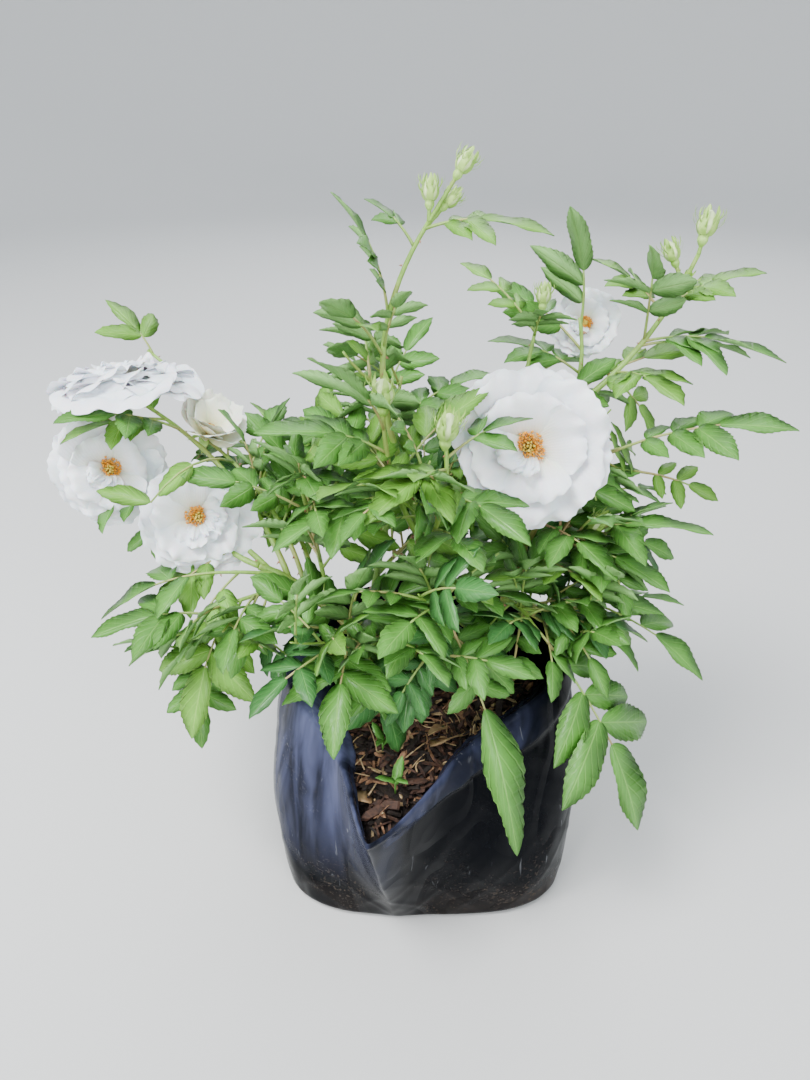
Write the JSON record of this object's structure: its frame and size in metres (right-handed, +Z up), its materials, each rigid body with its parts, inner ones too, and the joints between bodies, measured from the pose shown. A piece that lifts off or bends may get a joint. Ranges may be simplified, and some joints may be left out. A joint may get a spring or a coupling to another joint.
{
  "type": "rose bush",
  "caption": "Young white-flowered rose bush on arching green canes, rooted in bark chips in a soft black nursery grow bag",
  "frame": {"origin": "the middle of the grow bag's flat underside, on the ground", "axes": "+Z up the plant, and the spout of the bag's rim points to -Y, the front"},
  "size_m": [0.3907, 0.2686, 0.4078],
  "materials": {
    "bag_film": "thin black polythene film with a soft sheen on its folds",
    "medium_chips": "loose reddish-brown bark and wood chips",
    "stock_bark": "rough brownish-green rose bark",
    "cane_bark": "smooth green young bark",
    "foliage": "glossy green leaves on thin green stems",
    "petals": "soft white rose petals",
    "stamens": "golden-orange stamens"
  },
  "bodies": {
    "root": {"grow_bag": "bag_film", "medium": "medium_chips", "trunk": "stock_bark", "main_cane": "cane_bark", "upper_cane": "cane_bark", "right_cane": "cane_bark", "left_cane": "cane_bark", "low_right_cane": "cane_bark", "back_cane": "cane_bark", "top_shoot": "foliage", "right_shoot": "foliage", "back_right_shoot": "foliage", "back_bud_shoot": "foliage", "right_bloom_shoot": "foliage", "right_bud_shoot": "foliage", "right_leaf_shoot": "foliage", "mid_left_bud_shoot": "foliage", "mid_right_bud_shoot": "foliage", "front_shoot": "foliage", "front_left_shoot": "foliage", "front_right_shoot": "foliage", "low_right_shoot": "foliage", "left_bloom_front": "foliage", "left_bloom_mid": "foliage", "left_bloom_back": "foliage", "left_cup_bloom": "foliage", "low_left_shoot": "foliage", "left_leaf_shoot": "foliage", "outer_left_shoot": "foliage", "back_left_leaf_shoot": "foliage", "back_left_shoot": "foliage", "back_top_shoot": "foliage", "back_right_low_shoot": "foliage", "back_low_shoot": "foliage"}
  },
  "joints": []
}
